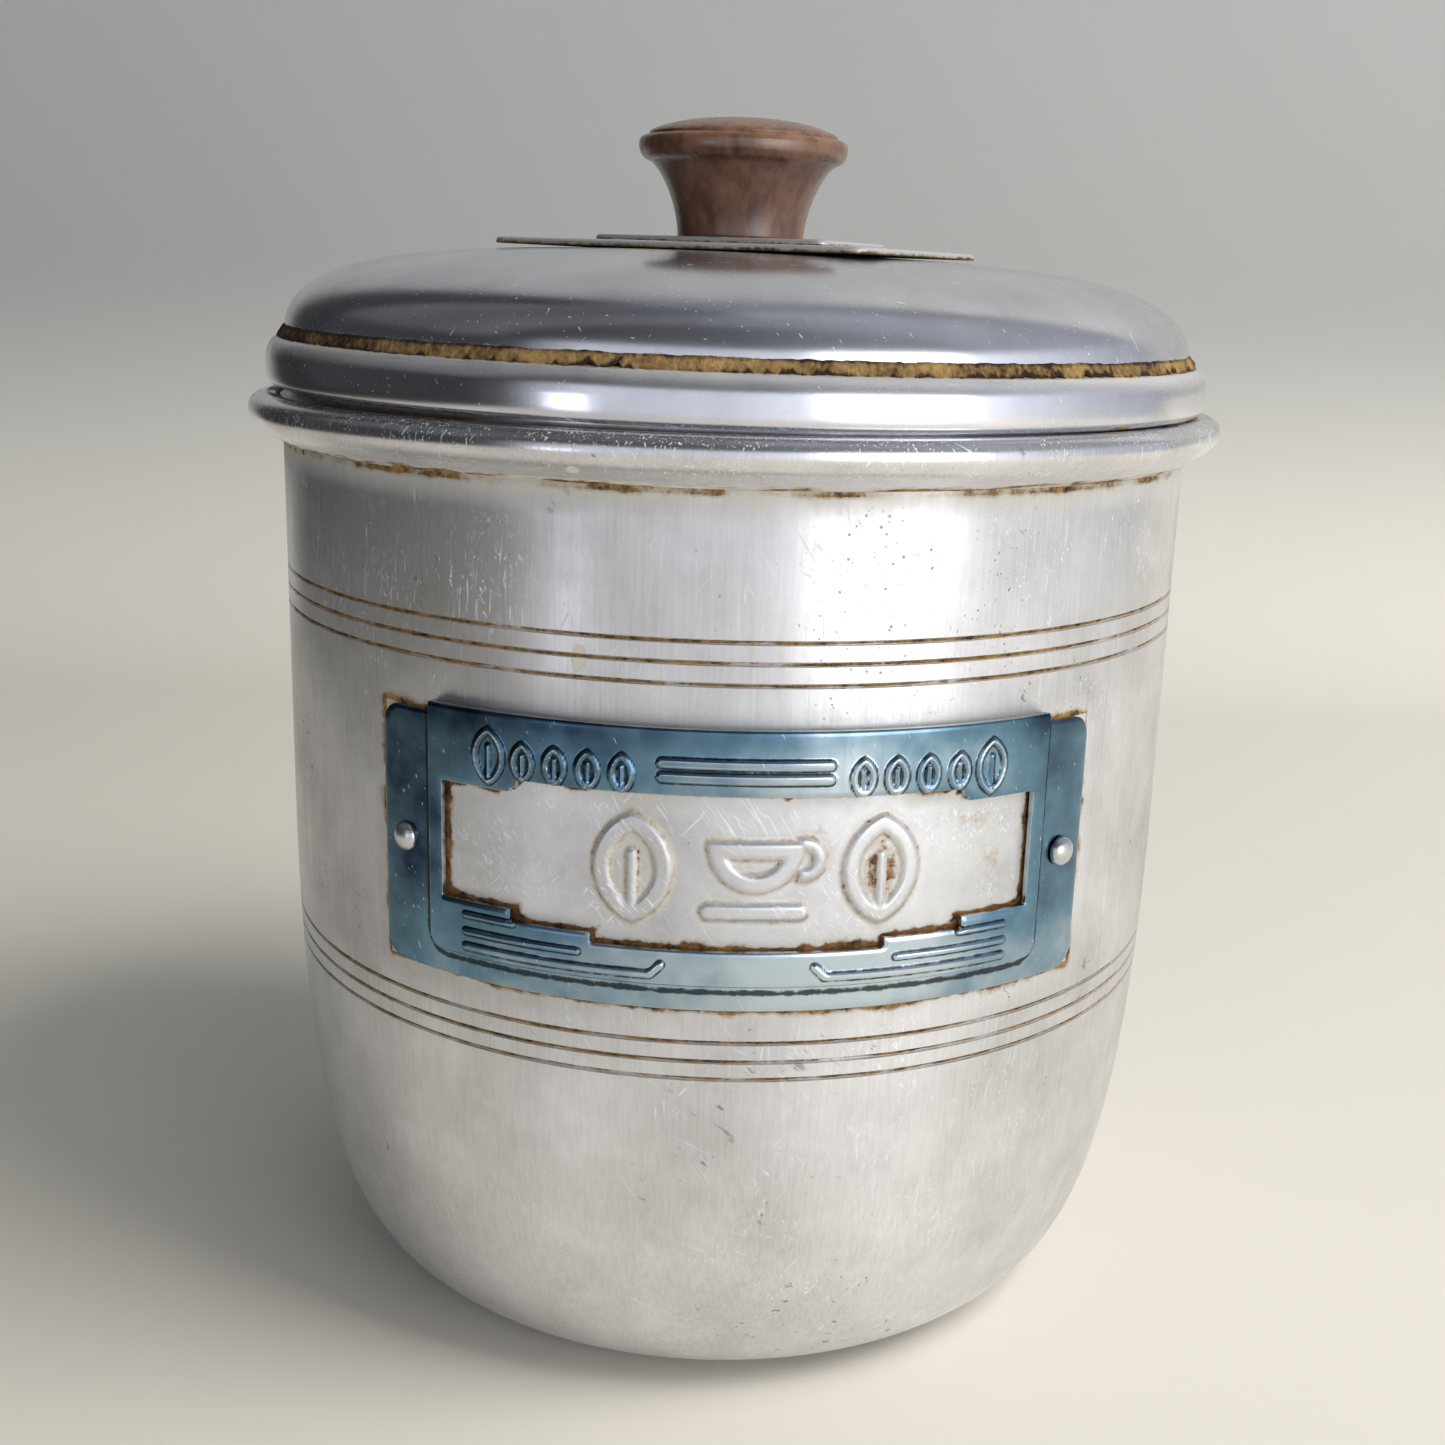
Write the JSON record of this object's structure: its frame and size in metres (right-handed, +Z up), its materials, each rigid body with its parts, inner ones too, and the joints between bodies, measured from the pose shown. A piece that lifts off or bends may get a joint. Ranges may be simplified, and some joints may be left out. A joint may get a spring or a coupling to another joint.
{
  "type": "storage canister",
  "caption": "Round spun-metal kitchen canister with a rolled rim, a riveted label holder with a loose label plate, and a plug-fit domed lid with a moulded knob.",
  "frame": {"origin": "centre of the foot ring, on the table", "axes": "+Z up along the canister's axis; the label faces -Y; +X is to the right of someone facing the label"},
  "size_m": [0.1224, 0.1224, 0.1481],
  "materials": {
    "satin_aluminium": "spun and brushed, worn satin with fine scratches and brown dirt in the rings",
    "polished_aluminium": "polished, lightly scratched",
    "bare_aluminium": "pressed sheet, matt, spotted with corrosion",
    "blue_lacquered_metal": "thin clear blue lacquer over pressed sheet, edges rubbed bright",
    "brown_phenolic": "moulded mottled brown, glossy",
    "insert_brass": "turned",
    "screw_steel": "plated, dull"
  },
  "bodies": {
    "canister": {"canister_body": "satin_aluminium", "label_holder": "blue_lacquered_metal", "rivet_left": "bare_aluminium", "rivet_right": "bare_aluminium"},
    "lid": {"lid_shell": "polished_aluminium", "plate_lower": "polished_aluminium", "plate_upper": "polished_aluminium", "knob": "brown_phenolic", "knob_insert": "insert_brass", "knob_screw": "screw_steel", "knob_washer": "screw_steel"},
    "label": {"label_plate": "bare_aluminium"}
  },
  "joints": [
    {"name": "lid_lift", "type": "slide", "parent": "canister", "child": "lid", "axis": [0, 0, 1], "range_m": [0, 0.12]},
    {"name": "label_slide", "type": "slide", "parent": "canister", "child": "label", "axis": [0, 0, 1], "range_m": [0, 0.027]}
  ]
}
